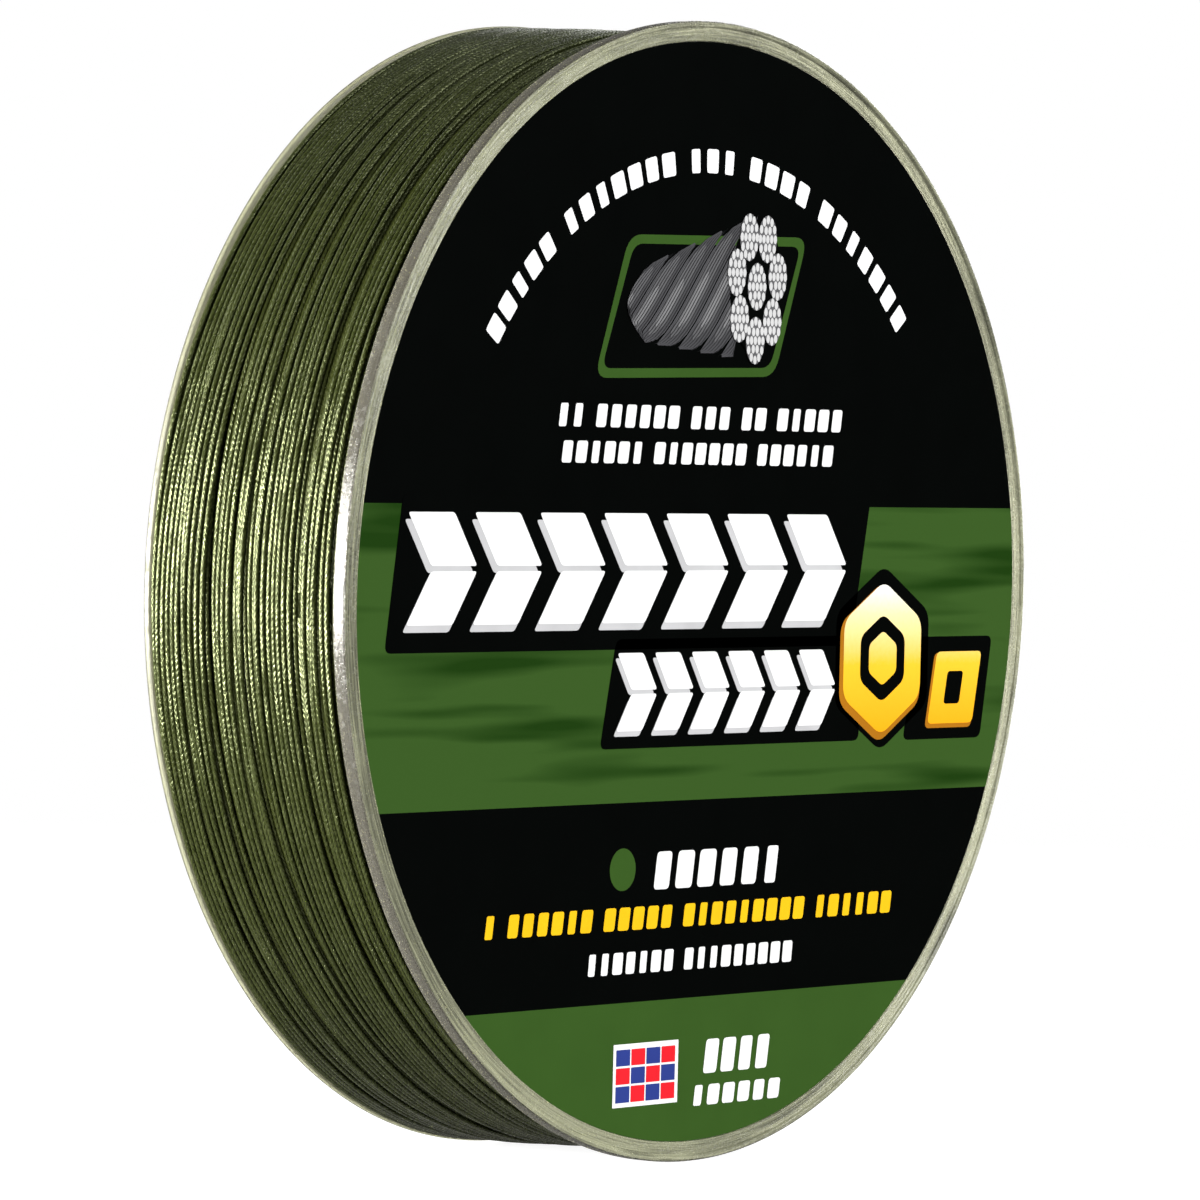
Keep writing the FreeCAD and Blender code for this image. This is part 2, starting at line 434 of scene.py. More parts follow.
def braid_fibres(tree):
    """Fine fibres that run along the line, from 0 to 1."""
    along, around = braid_place(tree)
    skewed = math_node(tree, "MULTIPLY_ADD", along, 0.35, around)
    parts = (math_node(tree, "MULTIPLY", along, 1.1), math_node(tree, "MULTIPLY", skewed, 17.0), around)
    return noise_from(tree, parts, 2.0)


def strand_height(tree, phase):
    """A rounded ridge across each strand, 0 at its edges and 1 at its middle."""
    part = math_node(tree, "FRACT", phase)
    centred = math_node(tree, "MULTIPLY_ADD", part, 2.0, -1.0)
    square = math_node(tree, "MULTIPLY", centred, centred)
    return math_node(tree, "SUBTRACT", 1.0, square)


def braided_line(name, crevice_shade, middle, crest_highlight):
    """Coated braid: strands that pass two over and two under, each pick a little different, with painted
    shade between the strands and a painted highlight on their crests.
    """
    material, tree, shader = new_material(name)
    left, right = braid_phases(tree)
    left_count = math_node(tree, "FLOOR", left)
    right_count = math_node(tree, "FLOOR", right)
    cell = math_node(tree, "ADD", left_count, right_count)
    wrapped = math_node(tree, "FLOORED_MODULO", cell, OVER_AND_UNDER)
    over = math_node(tree, "LESS_THAN", wrapped, 1.5)
    left_height = strand_height(tree, left)
    right_height = strand_height(tree, right)
    difference = math_node(tree, "SUBTRACT", left_height, right_height)
    height = math_node(tree, "MULTIPLY_ADD", difference, over, right_height)
    pair = add_node(tree, "ShaderNodeCombineXYZ")
    tree.links.new(left_count, pair.inputs["X"])
    tree.links.new(right_count, pair.inputs["Y"])
    pick_noise = add_node(tree, "ShaderNodeTexWhiteNoise", noise_dimensions="3D")
    tree.links.new(pair.outputs["Vector"], pick_noise.inputs["Vector"])
    fibres = braid_fibres(tree)
    drift = object_noise(tree, 220.0, detail=4.0, roughness=0.6)
    # Painted shade: the colour darkens towards the edges of each strand, in the crevices between strands.
    body = mix_colour(tree, map_range(tree, height, 0.0, 0.45, 0.0, 1.0), crevice_shade, middle)
    crest = math_node(tree, "MULTIPLY", height, height)
    uneven = map_range(tree, pick_noise.outputs["Value"], 0, 1, 0.3, 1.0)
    tone = math_node(tree, "MULTIPLY", uneven, map_range(tree, drift, 0.3, 0.7, 0.4, 1.0))
    lit = math_node(tree, "MULTIPLY", crest, tone)
    # Painted highlight: the crests of the strands are mixed towards the lightest colour, unevenly from pick
    # to pick and along the fibres.
    crests = math_node(tree, "MULTIPLY", map_range(tree, lit, 0.1, 0.9, 0.0, 1.0), fibres)
    colour = mix_colour(tree, math_node(tree, "MULTIPLY", crests, 1.6, clamp=True), body, crest_highlight)
    tree.links.new(colour, shader.inputs["Base Color"])
    rough = map_range(tree, fibres, 0.35, 0.65, 0.36, 0.2)
    tree.links.new(rough, shader.inputs["Roughness"])
    bump(tree, shader, math_node(tree, "MULTIPLY_ADD", fibres, 1.3, height), BRAID_RELIEF)
    glint = math_node(tree, "MULTIPLY", pick_noise.outputs["Value"], fibres)
    tree.links.new(map_range(tree, glint, 0.0, 0.6, 0.35, 1.25), shader.inputs["Specular IOR Level"])
    shader.inputs["Specular Tint"].default_value = (0.90, 1.0, 0.52, 1.0)
    return material


def paper_grain(tree, shader):
    """The fine grain of coated paper."""
    bump(tree, shader, object_noise(tree, 4000.0, detail=2.0), PAPER_RELIEF, 0.4)


def printed(name, colour, variation=0.06):
    """Ink on coated paper: a faint unevenness in tone and gloss and a fine grain."""
    material, tree, shader = new_material(name)
    cloud = object_noise(tree, 180.0, detail=4.0)
    darker = tuple(channel * (1.0 - variation) for channel in colour)
    lighter = tuple(min(1.0, channel * (1.0 + variation)) for channel in colour)
    tree.links.new(ramp(tree, cloud, [(0.35, darker), (0.65, lighter)]), shader.inputs["Base Color"])
    rough = map_range(tree, cloud, 0.3, 0.7, INK_ROUGHNESS, INK_ROUGHNESS + 0.1)
    tree.links.new(rough, shader.inputs["Roughness"])
    paper_grain(tree, shader)
    shader.inputs["Specular IOR Level"].default_value = INK_SPECULAR
    return material


def streaked_green(name, base, streak):
    """The label's green with soft dark streaks that run across it."""
    material, tree, shader = new_material(name)
    streaks = object_noise(tree, 30.0, detail=2.0, roughness=0.6, stretch=(0.6, 1.0, 9.0))
    depth = map_range(tree, streaks, 0.51, 0.63, 0.0, 1.0)
    tree.links.new(mix_colour(tree, depth, base, streak), shader.inputs["Base Color"])
    rough = map_range(tree, streaks, 0.3, 0.7, INK_ROUGHNESS, INK_ROUGHNESS + 0.08)
    tree.links.new(rough, shader.inputs["Roughness"])
    paper_grain(tree, shader)
    shader.inputs["Specular IOR Level"].default_value = 0.02
    return material


def height_blend(name, bottom, top, stops):
    """Ink whose colour changes with height, as in a printed gold gradient."""
    material, tree, shader = new_material(name)
    _, _, z = object_place(tree)
    part = map_range(tree, z, bottom * MM, top * MM, 0.0, 1.0)
    grain = object_noise(tree, 2500.0, detail=2.0)
    wobble = math_node(tree, "MULTIPLY_ADD", grain, 0.06, -0.03)
    blended = ramp(tree, math_node(tree, "ADD", part, wobble), stops)
    tree.links.new(blended, shader.inputs["Base Color"])
    bump(tree, shader, grain, PAPER_RELIEF, 0.4)
    shader.inputs["Roughness"].default_value = 0.4
    shader.inputs["Specular IOR Level"].default_value = 0.05
    return material


def frosted_tape(name):
    """Satin adhesive tape, a little cloudy where it isn't pressed down."""
    material, tree, shader = new_material(name)
    cloud = object_noise(tree, 350.0, detail=4.0)
    colour = ramp(tree, cloud, [(0.35, (0.62, 0.60, 0.46)), (0.7, (0.80, 0.78, 0.66))])
    tree.links.new(colour, shader.inputs["Base Color"])
    tree.links.new(map_range(tree, cloud, 0.3, 0.7, 0.3, 0.5), shader.inputs["Roughness"])
    bump(tree, shader, cloud, TAPE_RELIEF, 0.5)
    shader.inputs["Transmission Weight"].default_value = 0.35
    return material


def camera_level(tree, seen, lighting):
    """One value where the camera looks and another for the light that reaches the object."""
    rays = add_node(tree, "ShaderNodeLightPath")
    return map_range(tree, rays.outputs["Is Camera Ray"], 0.0, 1.0, lighting, seen)


def studio_floor(name):
    """Pale floor that fades into the white studio a little way from the object."""
    material, tree, shader = new_material(name)
    place = add_node(tree, "ShaderNodeTexCoord")
    distance = add_node(tree, "ShaderNodeVectorMath", operation="LENGTH")
    tree.links.new(place.outputs["Object"], distance.inputs[0])
    grain = object_noise(tree, 40.0, detail=2.0)
    colour = ramp(tree, grain, [(0.3, (0.28, 0.28, 0.28)), (0.7, (0.31, 0.31, 0.31))])
    tree.links.new(colour, shader.inputs["Base Color"])
    fade = map_range(tree, distance.outputs["Value"], 0.1, 0.5, 1.0, 0.0)
    tree.links.new(fade, shader.inputs["Alpha"])
    shader.inputs["Emission Color"].default_value = (1, 1, 1, 1)
    tree.links.new(camera_level(tree, 0.9, 0.05), shader.inputs["Emission Strength"])
    shader.inputs["Roughness"].default_value = 0.8
    shader.inputs["Specular IOR Level"].default_value = 0.1
    return material


CLEAR = clear_plastic("clear_plastic", (0.80, 0.77, 0.64), (0.60, 0.57, 0.45), 0.14)
# Painted shade: the rear flange takes a darker, greener copy of the clear plastic, so its rim looks shaded.
CLEAR_REAR_SHADED = clear_plastic("clear_plastic_rear_shaded", (0.36, 0.36, 0.24), (0.27, 0.27, 0.17), 0.38)
CLEAR_HUB = clear_plastic("clear_plastic_hub", (0.93, 0.92, 0.86), (0.85, 0.83, 0.75), 0.08)
LINE_TOP = braided_line(
    "braid", crevice_shade=(0.008, 0.0105, 0.0016), middle=(0.014, 0.0185, 0.0029), crest_highlight=(0.030, 0.038, 0.007)
)
# Painted shade: the second layer, the layers under it and the core use darker copies of the braid, so the
# deeper turns look shaded.
LINE_SECOND_SHADED = braided_line(
    "braid_second_shaded", crevice_shade=(0.008, 0.010, 0.0016), middle=(0.014, 0.018, 0.003), crest_highlight=(0.026, 0.032, 0.006)
)
LINE_UNDER_SHADED = braided_line(
    "braid_under_shaded", crevice_shade=(0.006, 0.008, 0.0013), middle=(0.011, 0.014, 0.0024), crest_highlight=(0.020, 0.025, 0.005)
)
BLACK = printed("print_black", (0.0008, 0.0012, 0.0010))
GREEN = streaked_green("print_green", LABEL_GREEN, (0.010, 0.040, 0.003))
PLAIN_GREEN = printed("print_plain_green", LABEL_GREEN, 0.03)
WHITE = printed("print_white", (0.90, 0.90, 0.90), 0.02)
SILVER = printed("print_silver", (0.55, 0.55, 0.56), 0.05)
YELLOW = printed("print_yellow", (0.90, 0.52, 0.012), 0.04)
RED = printed("print_red", (0.80, 0.02, 0.03), 0.04)
BLUE = printed("print_blue", (0.03, 0.05, 0.25), 0.04)
GREY_DARK = printed("print_grey_dark", (0.035, 0.035, 0.037), 0.08)
GREY_LAY = printed("print_grey_lay", (0.075, 0.075, 0.08), 0.08)
GREY_MIDDLE = printed("print_grey_middle", (0.125, 0.125, 0.13), 0.08)
GREY_PALE = printed("print_grey_pale", (0.22, 0.22, 0.225), 0.08)
GREY_LIGHT = printed("print_grey_light", (0.62, 0.62, 0.62), 0.04)
PAPER = printed("label_paper", (0.72, 0.71, 0.66), 0.05)
TAPE = frosted_tape("tape")


# ---- Winding ----

def smooth_waves(rng, count, slowest, fastest, height):
    """A smooth random function of the number of turns, about -height to height."""
    waves = [
        (rng.uniform(slowest, fastest), rng.uniform(0, TURN), rng.uniform(0.5, 1.0))
        for _ in range(count)
    ]
    total = sum(size for _, _, size in waves)

    def value(turns):
        summed = sum(size * np.sin(TURN * rate * turns + shift) for rate, shift, size in waves)
        return height * summed * 1.6 / total

    return value


def traverse(rng, turns, steps, low, high):
    """Where a line lies along the axis as it winds from low to high.

    Each turn runs level, then steps over to the next on the last part of its way round.
    Neighbouring turns touch, apart from gaps that open and close again over about one turn.
    """
    count = turns * steps + 1
    turn = np.arange(count) / steps
    slack = np.full(count, 0.05)
    for _ in range(int(turns * 1.15)):
        middle = rng.uniform(0, turns)
        length = rng.uniform(0.3, 0.95)
        height = rng.uniform(0.2, 0.9)
        reach = np.clip((turn - middle) / length, -1, 1)
        slack += height * np.cos(reach * math.pi / 2) ** 2
    spare = (high - low) - TOUCHING * (turns - 1)
    slack *= spare / (slack.mean() * (turns - 1))
    part = np.clip((turn[:steps] - LEVEL_PART) / (1 - LEVEL_PART), 0, 1)
    place = np.empty(count)
    place[:steps] = part * part * (3 - 2 * part) * (TOUCHING + slack[steps])
    for begin in range(steps, count, steps):
        end = min(begin + steps, count)
        place[begin:end] = place[begin - steps:end - steps] + TOUCHING + slack[begin:end]
    return low + np.clip(place * (high - low) / place[-steps], 0, high - low), turn


def winding_surface(along):
    """Outer radius of the winding: nearly as high as the rear rim, with a waist near the front."""
    places = [-INNER, -INNER * 0.7, -INNER * 0.3, INNER * 0.3, INNER * 0.75, REAR_INNER]
    heights = [49.35, 49.15, 49.25, 49.5, 49.62, 49.7]
    return np.interp(along, places, heights)


def line_tube(name, angle, along, radius, sides, material, twist=None):
    """A braided line laid along a path round the axis, with coordinates for its strands."""
    around = np.arange(sides) * TURN / sides
    across = LINE_HALF_WIDTH * np.cos(around)
    outward = LINE_HALF_HEIGHT * np.sin(around) + radius[:, None]
    points = points_round(angle, outward, along[:, None] + across)
    quads = grid_faces(len(angle), sides, False, True)
    rows, columns = quads[:, 0] // sides, quads[:, 0] % sides
    corner_rows = np.stack([rows, rows, rows + 1, rows + 1], axis=1)
    outward_quads = quads_facing_out(points, quads)
    turned = outward_quads is not quads
    steps = np.linalg.norm(np.diff(points.reshape(-1, sides, 3).mean(axis=1), axis=0), axis=1)
    length = np.concatenate([[0.0], np.cumsum(steps)])
    corner_u = length[corner_rows]
    corner_v = np.stack([columns, columns + 1, columns + 1, columns], axis=1) / sides
    if twist is not None:
        corner_v = corner_v + twist[corner_rows]
    caps = [tuple(range(sides)), tuple(range(len(points) - sides, len(points)))[::-1]]
    if turned:
        corner_u, corner_v = corner_u[:, ::-1], corner_v[:, ::-1]
        caps = [cap[::-1] for cap in caps]
    mesh = mesh_from(name, points, [*outward_quads.tolist(), *caps])
    layer = mesh.uv_layers.new(name="braid")
    flat = np.stack([corner_u, corner_v], axis=-1).reshape(-1, 2)
    flat = np.concatenate([flat, np.zeros((2 * sides, 2))])
    layer.data.foreach_set("uv", flat.ravel())
    mesh.materials.append(material)
    return link(name, mesh)


def winding_layer(name, seed, depth, turns, steps, sides, direction, material):
    """One layer of turns from flange to flange, depth millimetres under the surface.

    Each turn has a number of steps, the line a number of sides, and direction is 1 or -1.
    """
    rng = random.Random(seed)
    low = -INNER + LINE_HALF_WIDTH + END_GAP
    high = REAR_INNER - LINE_HALF_WIDTH - END_GAP
    along, turn = traverse(rng, turns, steps, low, high)
    jitter = smooth_waves(rng, 9, 0.4, 4.3, 0.03)
    lift = smooth_waves(rng, 12, 0.13, 1.9, 0.07)
    along = np.clip(along + jitter(turn), low, high)
    radius = winding_surface(along) - depth - LINE_HALF_HEIGHT + lift(turn)
    angle = direction * TURN * (turn - (1 + LEVEL_PART) / 2)
    dive, dive_turns = 0.7, 1 / 30
    from_end = np.minimum(turn, turn[-1] - turn)
    radius -= dive * (1 - np.clip(from_end / dive_turns, 0, 1))
    twist = smooth_waves(rng, 14, 0.3, 7.0, 1.6)(turn) + turn * 0.37
    return line_tube(name, angle, along, radius, sides, material, twist)


def riding_turn(name, start, span, low, high):
    """A length of line that crosses over its neighbours and dives under them at both ends.

    It starts at an angle in degrees and spans a part of a turn, from low to high on the axis.
    """
    dive, dive_turns = 0.75, 1 / 14
    part = np.linspace(0, 1, int(300 * span))
    eased = part * part * (3 - 2 * part)
    along = low + (high - low) * eased
    ends = np.clip(np.minimum(part, 1 - part) * span / dive_turns, 0, 1)
    radius = winding_surface(along) - LINE_HALF_HEIGHT * 0.75 - dive * (1 - ends)
    angle = math.radians(start) + TURN * span * part
    return line_tube(name, angle, along, radius, 10, LINE_TOP)


def scalloped(start, end, count, depth):
    """Points from start to end with a row of round turns to the left, or right if depth is negative."""
    steps = 3
    start, end = Vector(start), Vector(end)
    direction = (end - start).normalized()
    out = Vector((-direction.y, direction.x))
    points = []
    for index in range(count * steps):
        part = index / (count * steps)
        lift = depth * abs(math.sin(math.pi * part * count))
        points.append(tuple(start.lerp(end, part) + out * lift))
    return points


def winding_core():
    """The inside of the winding, seen only in gaps and through the clear hub."""
    outer = WINDING_RADIUS - 3 * LAYER_STEP - 0.25
    side = INNER - 0.15
    bore = DRUM_RADIUS + 0.25
    turns_across = 28
    turns_deep = 32
    outline = [
        *scalloped((bore, -side), (outer, -side), turns_deep, -0.12),
        *scalloped((outer, -side), (outer, side), turns_across, -0.12),
        *scalloped((outer, side), (bore, side), turns_deep, -0.12),
        *scalloped((bore, side), (bore, -side), turns_across, -0.2),
    ]
    # Painted shade: the core takes the darkest copy of the braid.
    core = lathe("winding_core", outline, LINE_UNDER_SHADED, segments=144, smooth_angle=75)
    layer = core.data.uv_layers.new(name="braid")
    coordinates = []
    for loop in core.data.loops:
        place = core.data.vertices[loop.vertex_index].co / MM
        turned = math.atan2(place.z, place.x)
        coordinates += [turned * outer, (place.y + math.hypot(place.x, place.z)) / 1.4]
    layer.data.foreach_set("uv", coordinates)
    return core


def make_winding():
    """The core, three layers of turns and four turns that ride over them."""
    pieces = [
        winding_core(),
        winding_layer("winding_third_layer", 31, 2 * LAYER_STEP, TURNS + 4, 180, 6, 1, LINE_UNDER_SHADED),
        winding_layer("winding_second_layer", 23, LAYER_STEP, TURNS + 3, 280, 8, -1, LINE_SECOND_SHADED),
        winding_layer("winding_outer_layer", 11, 0.0, TURNS, 360, 10, 1, LINE_TOP),
        riding_turn("riding_turn_front", start=95, span=0.62, low=-8.2, high=-3.9),
        riding_turn("riding_turn_middle", start=150, span=0.8, low=1.2, high=-4.6),
        riding_turn("riding_turn_rear", start=120, span=0.7, low=7.6, high=3.1),
        riding_turn("riding_turn_last", start=215, span=0.41, low=4.6, high=0.6),
    ]
    for piece in pieces:
        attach(piece, "root")
        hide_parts("wound_line")


# ---- Flanges and hub ----

def flange_outline(side, hole, rim_radius, rim_inner):
    """Section of a flange: a bead at the rim, a groove, then a lip that rises to the label."""
    bead_inner = rim_radius - BEAD_WIDTH
    groove_inner = bead_inner - GROOVE_WIDTH
    lip_inner = FLANGE_RADIUS - LIP_WIDTH
    corners = [
        (hole, INNER, 0.0),
        (lip_inner, INNER, 0.0),
        (rim_radius, rim_inner, 0.15),
        (rim_radius, FACE, 0.28),
        (bead_inner, FACE, 0.14),
        (groove_inner, FACE - GROOVE_DEPTH, 0.1),
        (lip_inner, FACE - LIP_DROP, 0.12),
        (lip_inner, LABEL_BACK, 0.0),
        (hole, LABEL_BACK, 0.0),
    ]
    points = [(radius, side * along) for radius, along, _ in corners]
    return rounded(points, [size for _, _, size in corners], steps=5)


def rear_outline():
    """The rear flange has a thinner rim, and a collar that plugs into the drum."""
    section = flange_outline(REAR, COLLAR_INNER, REAR_RIM_RADIUS, REAR_INNER)
    outline = [point for point in section if point[0] > COLLAR_INNER]
    collar = [
        (COLLAR_INNER, LABEL_BACK),
        (COLLAR_INNER, INNER - COLLAR_DEPTH),
        (COLLAR_OUTER, INNER - COLLAR_DEPTH),
        (COLLAR_OUTER, INNER),
    ]
    return [*outline, *rounded(collar, [0.2, 0.3, 0.3, 0.0], steps=4)]


def make_flanges():
    front_section = flange_outline(FRONT, SLEEVE_RADIUS, FLANGE_RADIUS, INNER)
    front = lathe("front_flange_moulding", front_section, CLEAR)
    rear = lathe("rear_flange_moulding", rear_outline(), CLEAR_REAR_SHADED)
    for piece, node in ((front, "front_flange"), (rear, "rear_flange")):
        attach(piece, "root")
        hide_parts(node)


def finish_cad_nodes():
    """The hub's pieces and the start tape keep their own shapes and get new finishes."""
    finishes = {
        "hub_drum": CLEAR_HUB,
        "hub_ribs": CLEAR_HUB,
        "arbor_sleeve": CLEAR_HUB,
        "line_start_tape": TAPE,
    }
    for node, material in finishes.items():
        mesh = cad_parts[node].data
        mesh.materials.clear()
        mesh.materials.append(material)


# ---- Tape over the line's end ----

def make_end_tape():
    """A short strip pressed over the turns, with pinked ends and a ripple from the line."""
    columns, rows = 46, 90
    lift, thickness = 0.08, 0.06
    tooth_angle, tooth_columns = 0.012, 6
    half_width = TAPE_HIGH[1]
    half_angle = math.atan2(TAPE_HIGH[2], TAPE_HIGH[0])
    surface = []
    for row in range(rows):
        for column in range(columns):
            across = column / (columns - 1) * 2 - 1
            teeth = tooth_angle * abs(2 * (column % tooth_columns) / tooth_columns - 1)
            angle = (row / (rows - 1) * 2 - 1) * (half_angle - teeth)
            along = across * half_width
            ripple = 0.03 * math.cos(TURN * along / 0.7) + 0.015 * math.sin(9 * angle + along)
            radius = float(winding_surface(along)) + lift + ripple
            surface.append((radius * math.cos(angle), along, radius * math.sin(angle)))
    mesh = mesh_from("line_end_tape_strip", surface, grid_faces(rows, columns))
    mesh.materials.append(TAPE)
    strip = link("line_end_tape_strip", mesh)
    solid = strip.modifiers.new("thickness", "SOLIDIFY")
    solid.thickness = thickness * MM
    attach(strip, "root")
    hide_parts("line_end_tape")


# ---- Printed shapes ----
# Art is laid out in millimetres as seen by someone who faces the label: across is to
# their right and up is +Z.

def bar(left, bottom, width, height, slant=0.0, corner=0.2):
    """A parallelogram that leans to the right by slant times its height."""
    lean = slant * height
    points = [
        (left, bottom),
        (left + width, bottom),
        (left + width + lean, bottom + height),
        (left + lean, bottom + height),
    ]
    return rounded(points, corner)


def letter_row(rng, left, right, bottom, height, words, slant):
    """Plain blocks in groups, from left to right, that stand for words of the given lengths."""
    unit = (right - left) / (sum(words) + WORD_GAP * (len(words) - 1))
    shapes = []
    for word in words:
        for _ in range(word):
            width = unit * rng.choice(BLOCK_WIDTHS)
            shapes.append(bar(left + (unit - width) / 2, bottom, width, height, slant, width * 0.2))
            left += unit
        left += WORD_GAP * unit
    return shapes


def letter_arc(rng, radius, height, first, last, words):
    """The same along an arc, from the first angle to the last, in degrees."""
    unit = (last - first) / (sum(words) + WORD_GAP * (len(words) - 1))
    shapes = []
    angle = first
    for word in words:
        for _ in range(word):
            width = unit * rng.choice(BLOCK_WIDTHS)
            begin = angle + (unit - width) / 2
            shapes.append(arc_bar(radius, height, begin, begin + width))
            angle += unit
        angle += WORD_GAP * unit
    return shapes


def arc_bar(radius, height, first, last, steps=3):
    angles = [math.radians(first + (last - first) * step / steps) for step in range(steps + 1)]
    low, high = radius - height / 2, radius + height / 2
    outer = [(high * math.cos(angle), high * math.sin(angle)) for angle in angles]
    inner = [(low * math.cos(angle), low * math.sin(angle)) for angle in reversed(angles)]
    return rounded([*outer, *inner], height * 0.12, steps=2)


def ellipse(across, up, half_width, half_height, count=48):
    return [(across + half_width * x, up + half_height * z) for x, z in places_round(count, 1.0)]


def hexagon(across, up, size, corner):
    """A rounded hexagon that stands on a corner."""
    return rounded([(across + z, up + x) for x, z in places_round(6, size)], corner, steps=5)


def split_chevron(left, bottom, width, height, point, gap):
    """The two halves of an arrow-shaped stripe that points to the right."""
    middle, top = bottom + height / 2, bottom + height
    halves = []
    for edge, inner in ((bottom, middle - gap / 2), (top, middle + gap / 2)):
        points = [(left, edge), (left + width, edge), (left + width + point, inner), (left + point, inner)]
        halves.append(rounded(points, 0.35))
    return halves


def chevron_row(count, first, step, **sizes):
    """A row of split chevrons. first is where the first one starts."""
    return [half for index in range(count) for half in split_chevron(first + step * index, **sizes)]


def moved(shape, across, up):
    return [(x + across, z + up) for x, z in shape]


def frame_shape(outer, inset):
    """A frame as four strips between an outline of four corners and the same one set in."""
    middle_x = sum(x for x, _ in outer) / 4
    middle_z = sum(z for _, z in outer) / 4
    width = max(x for x, _ in outer) - min(x for x, _ in outer)
    height = max(z for _, z in outer) - min(z for _, z in outer)
    shrink_x = 1 - 2 * inset * 1.15 / width
    shrink_z = 1 - 2 * inset / height
    inner = [
        (middle_x + (x - middle_x) * shrink_x, middle_z + (z - middle_z) * shrink_z) for x, z in outer
    ]
    outside = rounded(outer, 1.8, steps=6)
    inside = rounded(inner, 1.3, steps=6)
    count = len(outside)
    return [
        [outside[i], outside[(i + 1) % count], inside[(i + 1) % count], inside[i]] for i in range(count)
    ]


def ink(name, shapes, material, level, side=FRONT):
    """Printed shapes as thin raised ink, level steps above the label's face."""
    base = LABEL_TOP + level * INK_STEP
    points, faces = [], []
    for shape in shapes:
        start = len(points)
        count = len(shape)
        for height in (base, base + INK_THICKNESS):
            points += [(-side * across, side * height, up) for across, up in shape]
        faces += facing_out(points, prism_faces(start, count))
    mesh = mesh_from(name, points, faces, smooth=False)
    mesh.materials.append(material)
    piece = link(name, mesh)
    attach(piece, "root")
    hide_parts("front_label" if side == FRONT else "rear_label")


# ---- Labels ----

def band_outline(low, high):
    """The part of the label's disc between two heights."""
    steps = 90
    top = min(high, LABEL_RADIUS)
    bottom = max(low, -LABEL_RADIUS)
    first, last = math.asin(bottom / LABEL_RADIUS), math.asin(top / LABEL_RADIUS)
    right = [first + (last - first) * step / steps for step in range(steps + 1)]
    points = [(LABEL_RADIUS * math.cos(a), LABEL_RADIUS * math.sin(a)) for a in right]
    return points + [(-x, z) for x, z in reversed(points)]


def make_front_label():
    """The label's sheet: four coloured bands in front and plain paper behind."""
    edges = [LABEL_RADIUS, *BAND_LINES, -LABEL_RADIUS]
    materials = [BLACK, GREEN, BLACK, PLAIN_GREEN]
    points, faces, slots = [], [], []
    for number, (high, low) in enumerate(zip(edges, edges[1:])):
        outline = without_doubles(band_outline(low, high), 1e-6)
        start, count = len(points), len(outline)
        points += [(x, -LABEL_TOP, z) for x, z in outline]
        points += [(x, -LABEL_BACK, z) for x, z in outline]
        faces += facing_out(points, prism_faces(start, count))
        slots += [number, len(materials)] + [number] * count
    mesh = mesh_from("front_label_sheet", points, faces, smooth=False)
    for material in [*materials, PAPER]:
        mesh.materials.append(material)
    mesh.polygons.foreach_set("material_index", slots)
    sheet = link("front_label_sheet", mesh)
    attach(sheet, "root")
    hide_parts("front_label")


def print_rows(rng, rows):
    """Rows of words straight on the front label."""
    for name, material, left, right, bottom, height, words, slant in rows:
        ink(name, letter_row(rng, left, right, bottom, height, words, slant), material, 1)


def print_arcs(rng, side, rows):
    """Rows of words along arcs straight on a label."""
    for name, material, radius, height, first, last, words in rows:
        ink(name, letter_arc(rng, radius, height, first, last, words), material, 1, side)


def print_headline():
    """The arc of words and two lines of words on the upper black."""
    rng = random.Random(5)
    print_arcs(rng, FRONT, [("print_arc_words", WHITE, 37.8, 2.1, 145.5, 39.0, [5, 7, 3, 4, 7])])
    rows = [
        ("print_line_one", WHITE, -22.0, 20.3, 14.3, 2.0, [2, 6, 3, 2, 5], WORD_SLANT),
        ("print_line_two", WHITE, -21.3, 19.0, 11.2, 1.9, [6, 7, 6], WORD_SLANT),
    ]
    print_rows(rng, rows)


def rope_place(along, across):
    """A place on the drawn rope: along it from 0 to 1, and across it from its lower side to its upper."""
    lower = Vector((-12.0 + 15.8 * along, 21.9 - 1.4 * along))
    upper = Vector((-12.4 + 19.6 * along, 27.6 + 6.0 * along))
    return tuple(lower.lerp(upper, across))


def rope_strand(middle, half_width, low=0.0, high=1.0, steps=12):
    """Part of a strand that spirals over the rope, round at both ends."""
    sides = []
    for sign in (-1, 1):
        side = []
        for step in range(steps + 1):
            part = step / steps
            turn = low + (high - low) * part
            width = half_width * math.sqrt(min(1.0, 5 * part, 5 * (1 - part)))
            across = (1 - math.cos(math.pi * turn)) / 2
            near_end = 0.16 * (2 * across - 1) ** 2
            along = min(max(middle + sign * width + ROPE_LEAN * turn, near_end), ROPE_END)
            side.append(rope_place(along, across))
        sides.append(side)
    outline = [*sides[0], *reversed(sides[1])]
    return without_doubles(outline, 1e-4)


